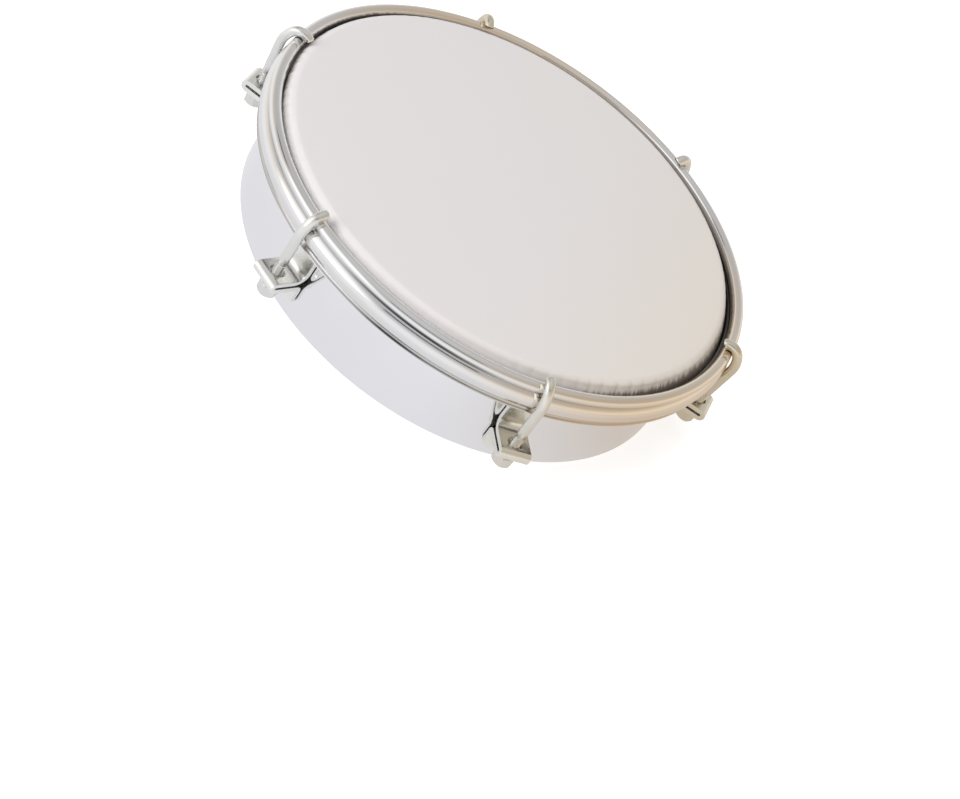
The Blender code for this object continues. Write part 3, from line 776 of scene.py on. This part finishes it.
height = axes["Z"]
# Painted shade: down in the gap the wall is painted dull brown.
in_gap = within(beside(*GAP_PAINTED_SHADE), (height, 37.5, 36.9), (reach, 80.2, 79.8))
# Painted shade: dark lines in the groove and in the crease behind the lip, most at the front.
in_groove = within(beside(*GROOVE_PAINTED_SHADE), (height, 35.5, 35.8), (height, 37.2, 36.5),
                   (reach, 81.2, 81.6))
at_lip = within(beside(*LIP_PAINTED_SHADE), (height, 28.3, 28.5), (height, 29.2, 28.7))
painted_crease_shade = add(tree, "ShaderNodeMath", {"operation": "MAXIMUM"}, {0: in_groove, 1: at_lip})
# Painted warm light: the chromium turns tan on two sides of the drum.
painted_warm_tint = add(tree, "ShaderNodeMix", {"data_type": "RGBA"},
               {"Factor": painted_warm_light_share(tree, place, 1.0), "A": tint.outputs["Result"],
                "B": linear("#EBE0D1")})
painted_shade_tint = add(tree, "ShaderNodeMix", {"data_type": "RGBA"},
             {"Factor": in_gap, "A": painted_warm_tint.outputs["Result"], "B": linear("#736A60")})
painted_shade_tint = add(tree, "ShaderNodeMix", {"data_type": "RGBA"},
             {"Factor": painted_crease_shade.outputs["Value"], "A": painted_shade_tint.outputs["Result"],
              "B": linear("#24262B")})
# The gap's wall is also made less metallic, as part of its painted shade.
plated = add(tree, "ShaderNodeMapRange", {}, {"Value": in_gap, "To Min": 1.0, "To Max": 0.25})
fill(tree, shader, {"Base Color": painted_shade_tint.outputs["Result"], "Roughness": gloss.outputs["Result"],
                    "Normal": ridges.outputs["Normal"], "Metallic": plated.outputs["Result"]})

rolled_hoop = new_piece(surface("rolled_hoop", ring_grid(hoop_outline(), HOOP_STEPS, HOOP_ASIDE)),
                        bright_chromium)
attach(rolled_hoop, "head")
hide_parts("counterhoop")


# Hooks.
# Each is one eighth inch steel rod, bent round to lie over the bead, cut off square inside it,
# and threaded at the other end, 40 threads to the inch. Zinc plated.
ROD_RADIUS = 1.6
SHANK_LEAN = 5.0                   # degrees that the shank leans in towards the shell
SHANK_FOOT = (84.3, 16.5)          # where its middle line meets the lug's top
HOOK_APEX = 40.7
HOOK_BEND = 10.0                   # radius of the wide bend over the band
HOOK_HUG = 3.7                     # radius of the close bend round the bead
HOOK_TIPS = (38.0, 42.0, 42.0, 45.0, 5.0, 3.0)     # how far each tip is turned down, in degrees
HOOK_BELOW = 9.2                   # how far the rod goes on below the lug's top
HOOK_INWARD = 0.12                 # how far inside the bead's middle the close bend's centre is
HOOK_SWAYS = (-1.9, 2.6, 0.1, 1.8, 1.0, -1.9)      # how far each apex stands to one side
TIP_CHAMFER = 0.25
FOOT_CHAMFER = 0.5
FOOT_FLAT = 1.0                    # radius of the flat end below the thread
THREAD_LENGTH = 13.0
THREAD_PITCH = 0.635
THREAD_DEPTH = 0.36
ROWS_PER_THREAD = 8


def hook_line(tip):
    """Middle line of the rod: from its tip, turned down by tip degrees, over the bead and down.

    A close arc goes round the bead, and a wide one leads from it into the straight shank. Its
    centre is one bend from the shank, and as far from the close one's as their radii differ.
    """
    lean = math.radians(SHANK_LEAN)
    down = -np.array([math.sin(lean), math.cos(lean)])
    outward = np.array([math.cos(lean), -math.sin(lean)])
    close = np.array([BEAD[0] - HOOK_INWARD, HOOK_APEX - HOOK_HUG])
    to_shank = (np.array(SHANK_FOOT) - close) @ outward
    lower = math.sqrt((HOOK_BEND - HOOK_HUG) ** 2 - (HOOK_BEND - to_shank) ** 2)
    wide = close - outward * (HOOK_BEND - to_shank) + down * lower
    meet = math.degrees(math.atan2(close[1] - wide[1], close[0] - wide[0]))
    inner = arc(*close, HOOK_HUG, 90.0 + tip, meet, 26)[:-1]
    outer = arc(*wide, HOOK_BEND, meet, -SHANK_LEAN, 24)
    foot = np.array(SHANK_FOOT) + down * HOOK_BELOW
    rows = int(THREAD_LENGTH / THREAD_PITCH * ROWS_PER_THREAD)
    thread = foot - down * np.linspace(THREAD_LENGTH, 0.0, rows)[:, None]
    return np.concatenate([inner, outer, (outer[-1] + thread[0])[None] / 2, thread])


def rod(line, around=40):
    """A round rod about a middle line in the radial plane, with chamfered ends and a thread.

    The radius is the rod's, less a rounded triangle wave of depth and pitch where the line is
    within the thread's length of its end. The wave climbs one pitch for each turn.
    """
    along = np.gradient(line, axis=0)
    along /= np.linalg.norm(along, axis=1)[:, None]
    length = np.concatenate([[0.0], np.cumsum(np.linalg.norm(np.diff(line, axis=0), axis=1))])
    to_end = length[-1] - length
    a = np.arange(around) * (math.tau / around)
    turn = to_end[None, :] / THREAD_PITCH - a[:, None] / math.tau
    wave = np.abs((turn % 1.0) * 2.0 - 1.0)
    cut = np.clip(wave * 1.35 - 0.15, 0.0, 1.0) * THREAD_DEPTH
    strength = np.clip((THREAD_LENGTH - to_end) / THREAD_PITCH, 0.0, 1.0)
    chamfer = (np.clip(FOOT_CHAMFER - to_end, 0.0, FOOT_CHAMFER)
               + np.clip(TIP_CHAMFER - length, 0.0, TIP_CHAMFER))
    radius = ROD_RADIUS - cut * strength - chamfer
    radius[:, [0, -1]] = 0.0
    radius = np.insert(radius, 1, ROD_RADIUS - TIP_CHAMFER, axis=1)
    radius = np.insert(radius, -1, FOOT_FLAT, axis=1)
    line = np.insert(np.insert(line, 1, line[0], axis=0), -1, line[-1], axis=0)
    along = np.insert(np.insert(along, 1, along[0], axis=0), -1, along[-1], axis=0)
    side = np.stack([along[:, 1], -along[:, 0]], axis=1)
    x = line[:, 0] + radius * np.cos(a)[:, None] * side[:, 0]
    z = line[:, 1] + radius * np.cos(a)[:, None] * side[:, 1]
    y = radius * np.sin(a)[:, None]
    return np.stack([x, y, z], axis=-1) * MM


# Zinc plated steel: a satin grey-white with fine drawing marks along the rod and cloudy patches
# a few millimetres across where the plating is thicker, and painted warm light on two sides.
zinc_plate, tree, shader = new_material("zinc_plated_steel")
place = add(tree, "ShaderNodeTexCoord").outputs["Object"]
cloud = add(tree, "ShaderNodeTexNoise", {}, {"Vector": place, "Scale": 260.0, "Detail": 4.0})
stretched = add(tree, "ShaderNodeMapping", {}, {"Vector": place, "Scale": (3000.0, 3000.0, 120.0)})
marks = add(tree, "ShaderNodeTexNoise", {}, {"Vector": stretched.outputs["Vector"],
                                             "Scale": 1.0, "Detail": 2.0})
tint = add(tree, "ShaderNodeMix", {"data_type": "RGBA"},
           {"Factor": cloud.outputs["Fac"], "A": linear("#DCDCD8"), "B": linear("#F2F2EF")})
# Painted warm light: the hooks and nuts turn tan on two sides of the drum.
tint = add(tree, "ShaderNodeMix", {"data_type": "RGBA"},
           {"Factor": painted_warm_light_share(tree, place, 0.6), "A": tint.outputs["Result"],
            "B": linear("#D8CDAE")})
gloss = add(tree, "ShaderNodeMapRange", {}, {"Value": cloud.outputs["Fac"], "From Min": 0.3,
                                             "From Max": 0.75, "To Min": 0.18, "To Max": 0.30})
ridges = add(tree, "ShaderNodeBump", {}, {"Height": marks.outputs["Fac"], "Strength": 0.25,
                                          "Distance": 0.00004})
fill(tree, shader, {"Base Color": tint.outputs["Result"], "Roughness": gloss.outputs["Result"],
                    "Normal": ridges.outputs["Normal"], "Metallic": 1.0})


def swayed(points, out, sway):
    """Lean the rod out and sideways: nothing at the lug, and steadily more towards the apex."""
    share = np.clip((points[..., 2] / MM - SHANK_FOOT[1]) / (HOOK_APEX - SHANK_FOOT[1]), 0.0, 1.0)
    return points + share[..., None] * np.array([out, sway, 0.0]) * MM


for station in range(STATIONS):
    with_hoop = HOOP_ASIDE * math.cos(math.tau * station / STATIONS)
    hook_points = swayed(rod(hook_line(HOOK_TIPS[station])), with_hoop, HOOK_SWAYS[station])
    leaned = about_drum(hook_points, station)
    hook_rod = new_piece(surface(f"hook_rod_{station + 1}", leaned, poles=True, crease=50.0),
                         zinc_plate)
    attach(hook_rod, f"hook_body_{station + 1}")
    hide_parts(f"hook_{station + 1}")


# Nuts.
# A small hexagon nut on each hook, under the lug, chamfered at both ends. Turning it draws the
# hook down.
NUT_FLATS = 6.0
NUT_HEIGHT = 4.0
NUT_TOP = 4.6                      # below the lug's top, along the shank
NUT_BORE = 1.75
NUT_CHAMFER = 0.35                 # at the bore
NUT_FACE = 0.97                    # radius of an end's face, as a share of half the flats
NUT_CORNER = 1.13                  # how far the corners reach, likewise
NUT_SLOPE = 1.2                    # how fast an end's cone widens
NUT_CONE = 0.9                     # height of the rows that stand close together for it
NUT_TURNS = (8.0, 31.0, 52.0, 17.0, 40.0, 24.0)    # how each nut happens to stand, in degrees


def nut_grid(turn):
    """Rows round the nut, columns round its section, in the shank's frame.

    The outside is the smaller of the hexagon's distance and two flat cones, one from each end,
    so that the cones cut curves into the six flats.
    """
    a = np.arange(144) * (math.tau / 144)
    half = NUT_FLATS / 2
    wedge = (a + math.radians(turn)) % math.radians(60.0) - math.radians(30.0)
    hexagon = np.minimum(half / np.cos(wedge), half * NUT_CORNER)
    rise = np.concatenate([np.linspace(0.0, NUT_CONE, 10), [NUT_HEIGHT / 2],
                           NUT_HEIGHT - np.linspace(NUT_CONE, 0.0, 10)])
    cone = half * NUT_FACE + np.minimum(rise, NUT_HEIGHT - rise) * NUT_SLOPE
    outside = np.minimum(hexagon[:, None], cone[None, :])
    low = -NUT_TOP - NUT_HEIGHT
    bore_rise = np.array([NUT_HEIGHT, NUT_HEIGHT - NUT_CHAMFER, NUT_HEIGHT / 2, NUT_CHAMFER, 0.0])
    bore = NUT_BORE + np.array([NUT_CHAMFER, 0.0, 0.0, 0.0, NUT_CHAMFER])
    radius = np.concatenate([outside, np.broadcast_to(bore, (len(a), len(bore)))], axis=1)
    height = np.concatenate([rise, bore_rise]) + low
    return np.stack([radius * np.cos(a)[:, None], radius * np.sin(a)[:, None],
                     np.broadcast_to(height, radius.shape)], axis=-1) * MM


def on_shank(points):
    """Place points of the shank's own frame in station 1: leaned outwards, moved to the lug."""
    lean = math.radians(SHANK_LEAN)
    turn = np.array([[math.cos(lean), 0, math.sin(lean)], [0, 1, 0],
                     [-math.sin(lean), 0, math.cos(lean)]])
    return points @ turn.T + np.array([SHANK_FOOT[0], 0.0, SHANK_FOOT[1]]) * MM


for station in range(STATIONS):
    nut_points = about_drum(on_shank(nut_grid(NUT_TURNS[station])), station)
    hex_nut = new_piece(surface(f"hex_nut_{station + 1}", nut_points, crease=28.0), zinc_plate)
    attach(hex_nut, f"nut_body_{station + 1}")
    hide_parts(f"tuning_nut_{station + 1}")
